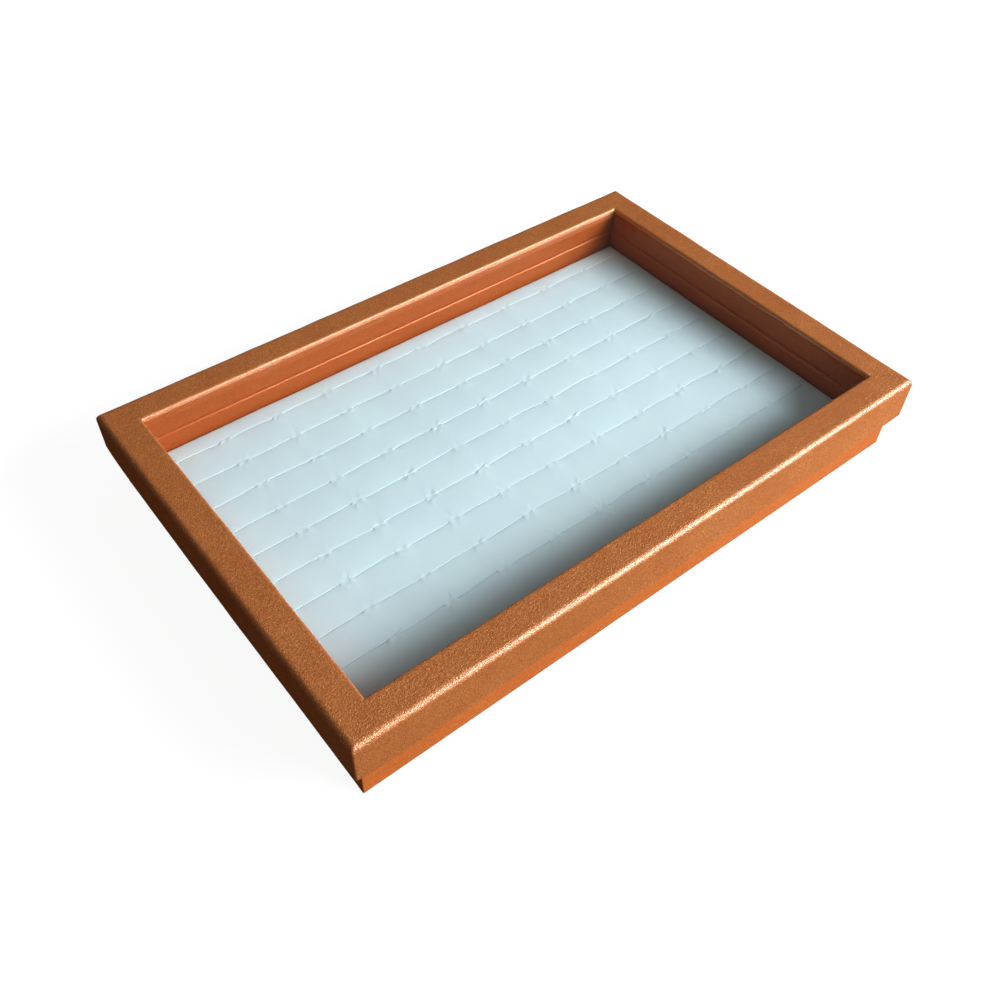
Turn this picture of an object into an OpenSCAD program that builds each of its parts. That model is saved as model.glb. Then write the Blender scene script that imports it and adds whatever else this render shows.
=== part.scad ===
// Ring display box: a leatherette-covered tray with a slotted velvet ring pad,
// and a glazed frame lid whose skirt drops over the tray. The lid lifts straight off.
// Millimetres. +X along the length, +Y to the back, +Z up. The origin is on the
// surface the box stands on, under its middle.

/* [Box] */
// Outside length of the lid
lid_length = 350; // [280:1:420]
// Outside width of the lid
lid_width = 230; // [180:1:300]
// Height of the closed box
box_height = 47; // [40:1:60]

/* [Lid] */
// From the lid's outside to the edge of the window
frame_width = 17; // [15:0.5:24]
// From the lid's top down to where it rests on the tray
frame_depth = 17; // [12:0.5:20]
// How far the skirt reaches down past the tray's rim
skirt_reach = 8.5; // [4:0.5:12]
// Thickness of the skirt's board
skirt_board = 2.4; // [1.8:0.1:3.5]
// Thickness of the rail's lip over the glass
lip_board = 1.7; // [1.2:0.1:3]
// Thickness of the glass
glass_thickness = 2; // [1.5:0.1:3]
// Gap round the glass in its rebate
glass_gap = 0.4; // [0.2:0.1:1]
// Thickness of the strips that hold the glass up
lid_liner_board = 4; // [3:0.1:6]
// How far those strips stand back from the window's edge
lid_liner_setback = 0.8; // [0.2:0.1:1.5]
// Rounding of the lid's outer top edge
lid_round = 2.5; // [1.5:0.1:3]
// Rounding of the window's top edge
window_round = 1.6; // [1:0.1:2]

/* [Covering] */
// Thickness of the leatherette
skin = 0.7; // [0.4:0.1:1]
// Rounding of the covered upright corners
corner_round = 1.2; // [0.6:0.1:1.4]
// Rounding of the tray's outer rim edge
rim_round = 1; // [0.7:0.1:1.5]
// How far the tray's covering is turned in under the floor
turn_under = 12; // [6:0.5:20]

/* [Tray] */
// Gap between the lid's skirt and the tray, on each side
lid_gap = 0.4; // [0.3:0.1:1]
// Thickness of the wall boards
wall_board = 9; // [6:0.5:12]
// Thickness of the covered liner strips inside the walls
tray_liner_board = 3.1; // [2:0.1:5]
// Rounding of the liner's top edge
liner_round = 1.2; // [0.6:0.1:1.5]
// Thickness of the floor board
floor_board = 3; // [2:0.5:5]
// Thickness of the flocked sheet under the floor
underlay = 0.4; // [0.3:0.1:1.5]
// From the tray's outside to the edge of that sheet
underlay_inset = 3; // [1:0.5:6]

/* [Ring pad] */
// Thickness of the card under the pad
pad_card_board = 2; // [1:0.5:3]
// Height of the pad's highest line above its card
pad_height = 15.6; // [12:0.1:18]
// Gap between the pad and the liner strips
pad_gap = 0.3; // [0.3:0.1:1]
// Thickness of the velvet
velvet = 0.9; // [0.5:0.1:1.2]
// Number of slots in a row
slot_columns = 10; // [4:1:14]
// Number of rows of slots
slot_rows = 10; // [4:1:12]
// From the pad's ends to the first and last column
slot_end_margin = 2.7; // [1:0.1:10]
// From the pad's front and back to the first and last row
slot_row_margin = 11.8; // [8:0.1:20]
// Whole pad left between two slots of a row
slot_bridge = 4; // [3.5:0.1:8]
// Depth of a slot below the pad's highest line
slot_depth = 9; // [6:0.5:10]
// Width of a slot between its velvet walls
slot_opening = 0.8; // [0.4:0.1:1.5]
// Rise of the pad between two rows
row_crown = 1.2; // [0.5:0.1:2]
// How far a slot's rear lip stands above its front lip
lip_rise = 0.6; // [0.2:0.1:1.2]
// Depth of the pinched dimple in each bridge
pinch_depth = 0.7; // [0.3:0.1:1]
// From the middle of a pinched dimple to its tip, along the row
pinch_spread = 2.1; // [1.5:0.1:3]
// Rounding of the pad's top edges
pad_round = 3; // [1.5:0.1:4]

/* [Nails] */
// Length of each leg of a corner nail
corner_nail_leg = 7; // [4:0.5:9]
// Height of a corner nail
corner_nail_height = 10; // [6:0.5:11]
// Thickness of a corner nail
corner_nail_gauge = 0.9; // [0.6:0.1:1.2]
// Length of a floor pin under its head
floor_pin_length = 14; // [10:0.5:18]
// Diameter of a floor pin
floor_pin_diameter = 1.4; // [1:0.1:2]
// Diameter of a floor pin's head
floor_pin_head = 3; // [2.4:0.1:4]
// Thickness of a floor pin's head
floor_pin_head_height = 0.6; // [0.4:0.1:1]
// Number of floor pins along a long wall
floor_pins_long = 5; // [2:1:8]
// Number of floor pins along a short wall
floor_pins_short = 3; // [2:1:6]
// From the tray's corners to the first floor pin
floor_pin_margin = 32; // [24:1:60]
// Gap round each nail and pin
nail_gap = 0.05; // [0.05:0.01:0.1]

/* [Hidden] */
$fn = 48;
FRONT = "front";
RIGHT = "right";
BACK = "back";
LEFT = "left";
OUTER = "outer";
INNER = "inner";

// Heights
rest_z = box_height - frame_depth;
skirt_z = rest_z - skirt_reach;
lip_z = box_height - skin - lip_board;
glass_z = lip_z - glass_thickness;
floor_z = underlay + skin;
tray_inside_z = floor_z + floor_board;
wall_top_z = rest_z - skin;
pad_z = tray_inside_z + pad_card_board;
pad_top_z = pad_z + pad_height;
slot_floor_z = pad_top_z - slot_depth;

// Distances in from the lid's outside
skirt_in = skin + skirt_board;
lid_cover_in = skirt_in + skin;
lid_liner_in = frame_width - lid_liner_setback;
rebate_in = lid_liner_in - lid_liner_board;
core_round = min(lid_round - skin, skirt_board);
glass_in = rebate_in + glass_gap;
tray_out = lid_cover_in + lid_gap;
wall_out = tray_out + skin;
wall_in = wall_out + wall_board;
tray_in = wall_in + tray_liner_board;
pad_in = tray_in + pad_gap;

// Pad and its grid of slots
pad_length = lid_length - 2 * pad_in;
pad_width = lid_width - 2 * pad_in;
column_pitch = (pad_length - 2 * slot_end_margin) / slot_columns;
row_pitch = (pad_width - 2 * slot_row_margin) / (slot_rows - 1);
slot_length = column_pitch - slot_bridge;
valley_z = pad_top_z - row_crown;
band_steps = 8;

// Places of the nails
lid_nail_in = (lid_cover_in + rebate_in) / 2;
tray_nail_in = (wall_out + wall_in) / 2;

past = 1;

leatherette_brown = [0.61, 0.38, 0.21];
leatherette_orange = [0.78, 0.40, 0.17];
lining_copper = [0.75, 0.47, 0.28];
board_tan = [0.72, 0.58, 0.42];
velvet_white = [0.80, 0.87, 0.90];
foam_white = [0.93, 0.93, 0.90];
steel_grey = [0.62, 0.63, 0.65];
felt_grey = [0.20, 0.19, 0.19];
card_grey = [0.60, 0.58, 0.54];

// Sweeps a (y, z) outline along X, centred
module along_x(length) {
    rotate([90, 0, 90])
        translate([0, 0, -length / 2])
            linear_extrude(length)
                children();
}

// Sweeps an (x, z) outline along Y, centred
module along_y(length) {
    rotate([90, 0, 0])
        translate([0, 0, -length / 2])
            linear_extrude(length)
                children();
}

// Upright outline, flat below and rounded at its two top corners
module rounded_top(width, low, high, radius) {
    translate([-width / 2, low])
        square([width, high - low - radius]);
    translate([radius - width / 2, low])
        square([width - 2 * radius, high - low]);
    for (side = [-1, 1])
        translate([side * (width / 2 - radius), high - radius])
            circle(radius);
}

// Outline of an opening that flares outwards at its top edge
module flared_top(width, low, high, radius) {
    translate([-width / 2, low])
        square([width, high - low + past]);
    difference() {
        translate([-width / 2 - radius, high - radius])
            square([width + 2 * radius, radius + past]);
        for (side = [-1, 1])
            translate([side * (width / 2 + radius), high - radius])
                circle(radius);
    }
}

// Plain block, a given distance in from the lid's outside
module block(inset, low, high) {
    size = [lid_length - 2 * inset, lid_width - 2 * inset, high - low];
    translate([-size[0] / 2, -size[1] / 2, low])
        cube(size);
}

// The same block with its top edges rounded
module rounded_block(inset, low, high, radius) {
    intersection() {
        along_x(lid_length)
            rounded_top(lid_width - 2 * inset, low, high, radius);
        along_y(lid_width)
            rounded_top(lid_length - 2 * inset, low, high, radius);
    }
}

// The space of an opening whose top edges are rounded
module flared_block(inset, low, high, radius) {
    intersection() {
        along_x(lid_length)
            flared_top(lid_width - 2 * inset, low, high, radius);
        along_y(lid_width)
            flared_top(lid_length - 2 * inset, low, high, radius);
    }
}

// Keeps what lies inside upright corners of a given rounding
module round_corners(inset, radius) {
    length = lid_length - 2 * inset;
    width = lid_width - 2 * inset;
    intersection() {
        children();
        translate([0, 0, -past])
            linear_extrude(box_height + 2 * past) {
                square([length - 2 * radius, width], center = true);
                square([length, width - 2 * radius], center = true);
                for (x = [-1, 1], y = [-1, 1])
                    translate([x * (length / 2 - radius), y * (width / 2 - radius)])
                        circle(radius);
            }
    }
}

// Profile of a plain upright board, as distances in from the lid's outside and heights
module plain_profile(near, far, low, high) {
    translate([near, low])
        square([far - near, high - low]);
}

// The same profile with its top corner rounded on one face
module board_profile(near, far, low, high, radius, rounded_face) {
    centre = rounded_face == OUTER ? near + radius : far - radius;
    corner = rounded_face == OUTER ? near - past : far - radius;
    difference() {
        plain_profile(near, far, low, high);
        difference() {
            translate([corner, high - radius])
                square(radius + past);
            translate([centre, high - radius])
                circle(radius);
        }
    }
}

// Turn that takes the front side to another one
function turn_to(side) = side == RIGHT ? 90 : side == BACK ? 180 : side == LEFT ? 270 : 0;

// Runs a profile along one side of the box and mitres both its ends
module mitred_board(side) {
    long = side == FRONT || side == BACK;
    half_run = (long ? lid_length : lid_width) / 2;
    half_across = (long ? lid_width : lid_length) / 2;
    reach = min(half_run, half_across) - past;
    rotate([0, 0, turn_to(side)])
        intersection() {
            translate([-half_run, -half_across, 0])
                rotate([90, 0, 90])
                    linear_extrude(2 * half_run)
                        children();
            translate([0, 0, -past])
                linear_extrude(box_height + 2 * past)
                    polygon([
                        [-half_run, -half_across],
                        [half_run, -half_across],
                        [half_run - reach, reach - half_across],
                        [reach - half_run, reach - half_across]
                    ]);
        }
}

// Puts its children at the four corners, each turned to look inwards
module at_corners(inset) {
    for (x = [0, 1], y = [0, 1])
        mirror([x, 0, 0])
            mirror([0, y, 0])
                translate([inset - lid_length / 2, inset - lid_width / 2, 0])
                    children();
}

// Corner nail: a right-angled strip that ties two mitred boards together
module corner_nail(gap) {
    leg = corner_nail_leg + gap;
    gauge = corner_nail_gauge + 2 * gap;
    translate([-gauge / 2, -gauge / 2, 0]) {
        cube([leg, gauge, corner_nail_height + gap]);
        cube([gauge, leg, corner_nail_height + gap]);
    }
}

// Boards of the lid under the leatherette, as one ring
module lid_core() {
    difference() {
        rounded_block(skin, skirt_z + skin, box_height - skin, core_round);
        block(skirt_in, skirt_z - past, rest_z + skin);
        window_space();
    }
}

// Space of the window through the boards
module window_space() {
    flared_block(frame_width - skin, rest_z, box_height - skin, window_round - skin);
}

// Space of the glass and of the strips under it
module rebate_space() {
    block(rebate_in, rest_z - past, lip_z);
}

module lid_rail(side) {
    color(board_tan)
        difference() {
            mitred_board(side)
                difference() {
                    board_profile(skirt_in, frame_width - skin, rest_z + skin, box_height - skin,
                        window_round - skin, INNER);
                    plain_profile(rebate_in, frame_width, rest_z, lip_z);
                }
            translate([0, 0, rest_z + skin])
                at_corners(lid_nail_in)
                    corner_nail(nail_gap);
        }
}

module lid_skirt(side) {
    color(board_tan)
        mitred_board(side)
            board_profile(skin, skirt_in, skirt_z + skin, box_height - skin, core_round, OUTER);
}

module lid_corner_nails() {
    color(steel_grey)
        translate([0, 0, rest_z + skin])
            at_corners(lid_nail_in)
                corner_nail(0);
}

module lid_cover() {
    color(leatherette_brown)
        difference() {
            round_corners(0, corner_round)
                rounded_block(0, skirt_z, box_height, lid_round);
            block(lid_cover_in, skirt_z - past, rest_z);
            flared_block(frame_width, rest_z - past, box_height, window_round);
            lid_core();
            rebate_space();
        }
}

module lid_glass() {
    color([0.85, 0.92, 0.93, 0.35])
        block(glass_in, glass_z, lip_z);
}

module lid_liner(side) {
    color(lining_copper)
        mitred_board(side)
            plain_profile(rebate_in, lid_liner_in, rest_z, glass_z);
}

module tray_wall(side) {
    color(board_tan)
        difference() {
            mitred_board(side)
                plain_profile(wall_out, wall_in, tray_inside_z, wall_top_z);
            translate([0, 0, tray_inside_z])
                at_corners(tray_nail_in)
                    corner_nail(nail_gap);
            floor_pin_set(nail_gap);
        }
}

module tray_corner_nails() {
    color(steel_grey)
        translate([0, 0, tray_inside_z])
            at_corners(tray_nail_in)
                corner_nail(0);
}

module tray_floor() {
    color(board_tan)
        difference() {
            block(wall_out, floor_z, tray_inside_z);
            floor_pin_set(nail_gap);
        }
}

// One pin, driven up through the floor with its head flush below
module floor_pin(gap) {
    radius = floor_pin_diameter / 2 + gap;
    head_radius = floor_pin_head / 2 + gap;
    translate([0, 0, floor_z]) {
        cylinder(h = floor_pin_length + gap, r = radius);
        cylinder(h = floor_pin_head_height + gap, r = head_radius);
    }
}

// Evenly spaced places along a wall, from margin to margin
function pin_places(run, count) =
    let (reach = run / 2 - tray_out - floor_pin_margin)
    [for (i = [0 : count - 1]) -reach + i * 2 * reach / (count - 1)];

module floor_pin_set(gap) {
    for (side = [-1, 1]) {
        for (x = pin_places(lid_length, floor_pins_long))
            translate([x, side * (lid_width / 2 - tray_nail_in), 0])
                floor_pin(gap);
        for (y = pin_places(lid_width, floor_pins_short))
            translate([side * (lid_length / 2 - tray_nail_in), y, 0])
                floor_pin(gap);
    }
}

module tray_floor_pins() {
    color(steel_grey)
        floor_pin_set(0);
}

module tray_cover() {
    color(leatherette_orange)
        difference() {
            round_corners(tray_out, corner_round)
                rounded_block(tray_out, underlay, rest_z, rim_round);
            block(wall_out, floor_z, wall_top_z);
            block(wall_in, wall_top_z - past, rest_z + past);
            block(tray_out + turn_under, underlay - past, floor_z + past);
        }
}

module tray_liner(side) {
    color(lining_copper)
        mitred_board(side)
            board_profile(wall_in, tray_in, tray_inside_z, rest_z, liner_round, INNER);
}

module tray_underlay() {
    color(felt_grey)
        block(tray_out + underlay_inset, 0, underlay);
}

module pad_card() {
    color(card_grey)
        block(pad_in, tray_inside_z, pad_z);
}

// Distance of row line i from the pad's middle, counted from the back; the first
// and last lines are the pad's own edges
function band_edge(i) =
    i == 0 ? pad_width / 2 :
    i == slot_rows + 1 ? -pad_width / 2 :
    pad_width / 2 - slot_row_margin - (i - 1) * row_pitch;

// Height of the pad over a band, where s runs from 0 at its back to 1 at its front
function band_height(s) = valley_z + row_crown * sin(180 * s) + lip_rise * pow(s, 3) * (1 - sin(180 * s));

// Points across the pad: a low crown between rows, and a step down at each slot
function band_points(drop) = [
    for (i = [0 : slot_rows], k = [0 : band_steps])
        let (
            s = k / band_steps,
            back = band_edge(i) - (i == 0 ? 0 : slot_opening / 2),
            front = band_edge(i + 1) + (i == slot_rows ? 0 : slot_opening / 2)
        )
        [back + s * (front - back), band_height(s) - drop]
];

// A four-sided dimple with its point down, creased along and across the row
module pinch() {
    rise = 2 * row_crown;
    spread = pinch_spread / sqrt(2) * rise / pinch_depth;
    intersection_for(turn = [-45, 45])
        rotate([90, 0, turn])
            linear_extrude(4 * spread, center = true)
                polygon([[0, 0], [spread, rise], [-spread, rise]]);
}

// A dimple in every bridge between two slots of a row
module pinches(drop) {
    for (column = [1 : slot_columns - 1], row = [1 : slot_rows])
        translate([
            slot_end_margin + column * column_pitch - pad_length / 2,
            band_edge(row),
            valley_z - pinch_depth - drop
        ])
            pinch();
}

// The pad's outer form, or the form a given distance inside it
module pad_form(inset) {
    difference() {
        intersection() {
            along_x(pad_length - 2 * inset)
                polygon(concat(
                    [[-pad_width / 2, pad_z], [pad_width / 2, pad_z]],
                    band_points(inset)
                ));
            rounded_block(pad_in + inset, pad_z - past, pad_top_z - inset, pad_round);
        }
        pinches(inset);
    }
}

// Every slot as an upright box, widened on all sides by a margin
module slot_boxes(margin) {
    size = [
        slot_length + 2 * margin,
        slot_opening + 2 * margin,
        slot_depth + margin + lip_rise + past
    ];
    for (column = [0 : slot_columns - 1], row = [1 : slot_rows])
        translate([
            slot_end_margin + (column + 0.5) * column_pitch - pad_length / 2 - size[0] / 2,
            band_edge(row) - size[1] / 2,
            slot_floor_z - margin
        ])
            cube(size);
}

module pad_foam_form() {
    difference() {
        pad_form(velvet);
        slot_boxes(velvet);
    }
}

module pad_foam() {
    color(foam_white)
        pad_foam_form();
}

module pad_velvet() {
    color(velvet_white)
        difference() {
            pad_form(0);
            pad_foam_form();
            slot_boxes(0);
        }
}

lid_rail(FRONT);  // lid_rail_front
lid_rail(RIGHT);  // lid_rail_right
lid_rail(BACK);  // lid_rail_back
lid_rail(LEFT);  // lid_rail_left
lid_skirt(FRONT);  // lid_skirt_front
lid_skirt(RIGHT);  // lid_skirt_right
lid_skirt(BACK);  // lid_skirt_back
lid_skirt(LEFT);  // lid_skirt_left
lid_liner(FRONT);  // lid_liner_front
lid_liner(RIGHT);  // lid_liner_right
lid_liner(BACK);  // lid_liner_back
lid_liner(LEFT);  // lid_liner_left
lid_corner_nails();
lid_glass();
lid_cover();
tray_wall(FRONT);  // tray_wall_front
tray_wall(RIGHT);  // tray_wall_right
tray_wall(BACK);  // tray_wall_back
tray_wall(LEFT);  // tray_wall_left
tray_liner(FRONT);  // tray_liner_front
tray_liner(RIGHT);  // tray_liner_right
tray_liner(BACK);  // tray_liner_back
tray_liner(LEFT);  // tray_liner_left
tray_floor();
tray_corner_nails();
tray_floor_pins();
tray_cover();
tray_underlay();
pad_card();
pad_foam();
pad_velvet();
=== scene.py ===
"""Looks of a leatherette ring display box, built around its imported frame.

The box is a covered tray with a slotted velvet ring pad, under a framed glass lid that
lifts straight off. Lengths are written in millimetres and turned into metres by MM.
"""

import logging
import math
from collections.abc import Callable
from dataclasses import dataclass, field
from enum import Enum

import bpy
import numpy as np
from mathutils import Matrix, Quaternion, Vector

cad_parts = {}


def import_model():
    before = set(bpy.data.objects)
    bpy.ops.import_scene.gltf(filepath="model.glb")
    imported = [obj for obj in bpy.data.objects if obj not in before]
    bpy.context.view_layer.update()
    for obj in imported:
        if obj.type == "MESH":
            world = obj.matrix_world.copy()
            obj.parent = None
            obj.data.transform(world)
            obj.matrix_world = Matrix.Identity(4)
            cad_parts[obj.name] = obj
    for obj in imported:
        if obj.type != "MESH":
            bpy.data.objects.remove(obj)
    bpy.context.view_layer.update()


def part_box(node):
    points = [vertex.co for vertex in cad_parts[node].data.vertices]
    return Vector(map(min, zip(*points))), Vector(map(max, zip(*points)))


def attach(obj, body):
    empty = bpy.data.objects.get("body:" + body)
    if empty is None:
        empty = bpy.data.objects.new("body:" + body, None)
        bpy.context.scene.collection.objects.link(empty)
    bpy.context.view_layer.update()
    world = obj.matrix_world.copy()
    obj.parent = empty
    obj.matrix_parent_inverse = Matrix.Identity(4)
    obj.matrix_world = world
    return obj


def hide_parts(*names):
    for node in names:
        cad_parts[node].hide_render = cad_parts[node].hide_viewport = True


MM = 0.001
CREASE_DEG = 50

log = logging.getLogger("ring_box")

Rgb = tuple[float, float, float]
WHITE = (1.0, 1.0, 1.0)


class Side(Enum):
    """A side of the box, with the quarter turns that bring the front to it."""

    FRONT = 0
    RIGHT = 1
    BACK = 2
    LEFT = 3

    @property
    def runs_along_x(self) -> bool:
        """Whether the side's long direction is X."""
        return self in (Side.FRONT, Side.BACK)

    @property
    def word(self) -> str:
        """The side's name as the frame's nodes write it."""
        return self.name.lower()

    @property
    def turn(self) -> Matrix:
        """The turn about the upright axis that brings the front to the side."""
        return Matrix.Rotation(self.value * math.pi / 2, 3, "Z")


class Body(Enum):
    """The frame's bodies."""

    TRAY = "tray"
    LID = "lid"


def linear(rgb: tuple[int, int, int]) -> Rgb:
    """Turns a display colour of 0 to 255 into linear light.

    Args:
        rgb: Red, green and blue as a screen shows them.

    Returns:
        The same colour in linear light, from 0 to 1.
    """

    def channel(value: int) -> float:
        """One channel in linear light."""
        share = value / 255
        return share / 12.92 if share <= 0.04045 else ((share + 0.055) / 1.055) ** 2.4

    red, green, blue = (channel(value) for value in rgb)
    return red, green, blue


class Paint:
    """The node tree of a material or world, with short calls that add nodes and join them."""

    def __init__(self, owner: bpy.types.Material | bpy.types.World) -> None:
        """Empties the owner's node tree.

        Args:
            owner: The material or world.
        """
        owner.use_nodes = True
        self.tree = owner.node_tree
        self.tree.nodes.clear()
        self.places = self.tree.nodes.new("ShaderNodeTexCoord").outputs
        self.coordinates = self.places["Object"]

    def node(self, kind: str, **settings: object) -> bpy.types.Node:
        """Adds a node and sets its properties.

        Args:
            kind: Blender's type name of the node.
            **settings: Properties of the node, by name.

        Returns:
            The new node.
        """
        made = self.tree.nodes.new(kind)
        for key, value in settings.items():
            setattr(made, key, value)
        return made

    def feed(self, socket: bpy.types.NodeSocket, value: object) -> None:
        """Joins an output to a socket, or sets the socket's own value.

        Args:
            socket: The input to fill.
            value: A node's output, or a plain value or colour.
        """
        if isinstance(value, bpy.types.NodeSocket):
            self.tree.links.new(value, socket)
        elif isinstance(value, tuple) and len(value) == 3 and socket.type == "RGBA":
            socket.default_value = (*value, 1.0)
        else:
            socket.default_value = value

    def stretched(self, scale: Rgb, turn: Rgb = (0.0, 0.0, 0.0)) -> bpy.types.NodeSocket:
        """Object coordinates, stretched and turned.

        Args:
            scale: Factor along each axis.
            turn: Rotation about each axis, in radians.

        Returns:
            The changed coordinates.
        """
        mapping = self.node("ShaderNodeMapping")
        self.feed(mapping.inputs["Vector"], self.coordinates)
        self.feed(mapping.inputs["Scale"], scale)
        self.feed(mapping.inputs["Rotation"], turn)
        return mapping.outputs["Vector"]

    def noise(
        self, size_mm: float, detail: float = 2.0, roughness: float = 0.5, distortion: float = 0.0,
        at: bpy.types.NodeSocket | None = None,
    ) -> bpy.types.NodeSocket:
        """Soft noise.

        Args:
            size_mm: Size of one blob, in millimetres.
            detail: How many finer layers it has.
            roughness: How strong the finer layers are.
            distortion: How far the blobs are pulled about.
            at: Coordinates, or None for the object's own.

        Returns:
            A value from 0 to 1.
        """
        made = self.node("ShaderNodeTexNoise")
        self.feed(made.inputs["Vector"], at or self.coordinates)
        self.feed(made.inputs["Scale"], 1 / (size_mm * MM))
        self.feed(made.inputs["Detail"], detail)
        self.feed(made.inputs["Roughness"], roughness)
        self.feed(made.inputs["Distortion"], distortion)
        return made.outputs["Fac"]

    def cells(self, size_mm: float, at: bpy.types.NodeSocket | None = None) -> bpy.types.NodeSocket:
        """Rounded cells, low in their middles.

        Args:
            size_mm: Size of one cell, in millimetres.
            at: Coordinates, or None for the object's own.

        Returns:
            The smoothed distance to each cell's middle.
        """
        made = self.node("ShaderNodeTexVoronoi", feature="SMOOTH_F1")
        self.feed(made.inputs["Vector"], at or self.coordinates)
        self.feed(made.inputs["Scale"], 1 / (size_mm * MM))
        self.feed(made.inputs["Smoothness"], 0.35)
        return made.outputs["Distance"]

    def calc(
        self, operation: str, a: object, b: object, c: object = 0.0, clamp: bool = False
    ) -> bpy.types.NodeSocket:
        """One step of arithmetic.

        Args:
            operation: Blender's name of the step.
            a: The first value or output.
            b: The second.
            c: The third, for steps that take three.
            clamp: Whether the result is held from 0 to 1.

        Returns:
            The result.
        """
        made = self.node("ShaderNodeMath", operation=operation, use_clamp=clamp)
        for socket, value in zip(made.inputs, (a, b, c)):
            self.feed(socket, value)
        return made.outputs[0]

    def ridges(self, value: bpy.types.NodeSocket, sharpness: float) -> bpy.types.NodeSocket:
        """Narrow winding ridges where a noise passes its middle.

        Args:
            value: The noise.
            sharpness: How narrow the ridges are.

        Returns:
            A value that is 1 on a ridge and falls to 0 beside it.
        """
        off = self.calc("ABSOLUTE", self.calc("SUBTRACT", value, 0.5), 0.0)
        return self.calc("SUBTRACT", 1.0, self.calc("MULTIPLY", off, sharpness), clamp=True)

    def between(
        self, value: bpy.types.NodeSocket, low: float, high: float, first: object, last: object
    ) -> bpy.types.NodeSocket:
        """A colour that follows a value.

        Args:
            value: The value.
            low: Where the colour is still the first.
            high: Where it is fully the last.
            first: One colour.
            last: The other.

        Returns:
            The colour.
        """
        share = self.node("ShaderNodeMapRange", interpolation_type="SMOOTHSTEP")
        self.feed(share.inputs["Value"], value)
        self.feed(share.inputs["From Min"], low)
        self.feed(share.inputs["From Max"], high)
        made = self.node("ShaderNodeMix", data_type="RGBA")
        self.feed(made.inputs["Factor"], share.outputs["Result"])
        self.feed(made.inputs["A"], first)
        self.feed(made.inputs["B"], last)
        return made.outputs["Result"]

    def span(
        self, value: bpy.types.NodeSocket, low: float, high: float, first: float, last: float
    ) -> bpy.types.NodeSocket:
        """A number that follows a value.

        Args:
            value: The value.
            low: Where the number is still the first.
            high: Where it is fully the last.
            first: One number.
            last: The other.

        Returns:
            The number.
        """
        made = self.node("ShaderNodeMapRange")
        self.feed(made.inputs["Value"], value)
        self.feed(made.inputs["From Min"], low)
        self.feed(made.inputs["From Max"], high)
        self.feed(made.inputs["To Min"], first)
        self.feed(made.inputs["To Max"], last)
        return made.outputs["Result"]

    def bump(
        self, height: bpy.types.NodeSocket, depth_mm: float, strength: float = 1.0,
        under: bpy.types.NodeSocket | None = None,
    ) -> bpy.types.NodeSocket:
        """A normal bent by a height.

        Args:
            height: The height, from 0 to 1.
            depth_mm: What a height of 1 measures, in millimetres.
            strength: How strongly the normal bends.
            under: A normal that this one is laid over.

        Returns:
            The bent normal.
        """
        made = self.node("ShaderNodeBump")
        self.feed(made.inputs["Height"], height)
        self.feed(made.inputs["Distance"], depth_mm * MM)
        self.feed(made.inputs["Strength"], strength)
        if under is not None:
            self.feed(made.inputs["Normal"], under)
        return made.outputs["Normal"]

    def principled(self, **sockets: object) -> bpy.types.NodeSocket:
        """Adds the surface shader.

        Args:
            **sockets: Values or outputs, by socket name with _ for each space.

        Returns:
            The shader.
        """
        made = self.node("ShaderNodeBsdfPrincipled")
        for key, value in sockets.items():
            self.feed(made.inputs[key.replace("_", " ")], value)
        return made.outputs[0]

    def mixed(self, share: object, first: object, last: object) -> bpy.types.NodeSocket:
        """Two shaders in one.

        Args:
            share: How much of the last shows, from 0 to 1.
            first: One shader.
            last: The other.

        Returns:
            The mixed shader.
        """
        made = self.node("ShaderNodeMixShader")
        for socket, value in zip(made.inputs, (share, first, last)):
            self.feed(socket, value)
        return made.outputs[0]

    def dull(self, colour: object) -> bpy.types.NodeSocket:
        """A plain matt shader.

        Args:
            colour: Its colour.

        Returns:
            The shader.
        """
        made = self.node("ShaderNodeBsdfDiffuse")
        self.feed(made.inputs["Color"], colour)
        return made.outputs[0]

    def light(self, kind: str, colour: object, strength: object) -> bpy.types.NodeSocket:
        """A shader that gives off light.

        Args:
            kind: Blender's type name of the node for a surface, or of that for a world.
            colour: The light's colour.
            strength: How bright it is.

        Returns:
            The shader.
        """
        made = self.node(kind)
        self.feed(made.inputs["Color"], colour)
        self.feed(made.inputs["Strength"], strength)
        return made.outputs[0]

    def output(self, shader: bpy.types.NodeSocket, kind: str = "ShaderNodeOutputMaterial") -> None:
        """Ends the tree with a shader, in the output node of a material or of a world."""
        self.feed(self.node(kind).inputs["Surface"], shader)


@dataclass(frozen=True)
class Finish:
    """A named look that can be made into a material."""

    name: str

    def shader(self, paint: Paint) -> bpy.types.NodeSocket:
        """Adds the finish's nodes.

        Args:
            paint: The tree that they go into.

        Returns:
            The finished surface.
        """
        raise NotImplementedError

    def material(self) -> bpy.types.Material:
        """Makes the finish.

        Returns:
            The new material.
        """
        made = bpy.data.materials.new(self.name)
        paint = Paint(made)
        paint.output(self.shader(paint))
        return made


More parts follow.
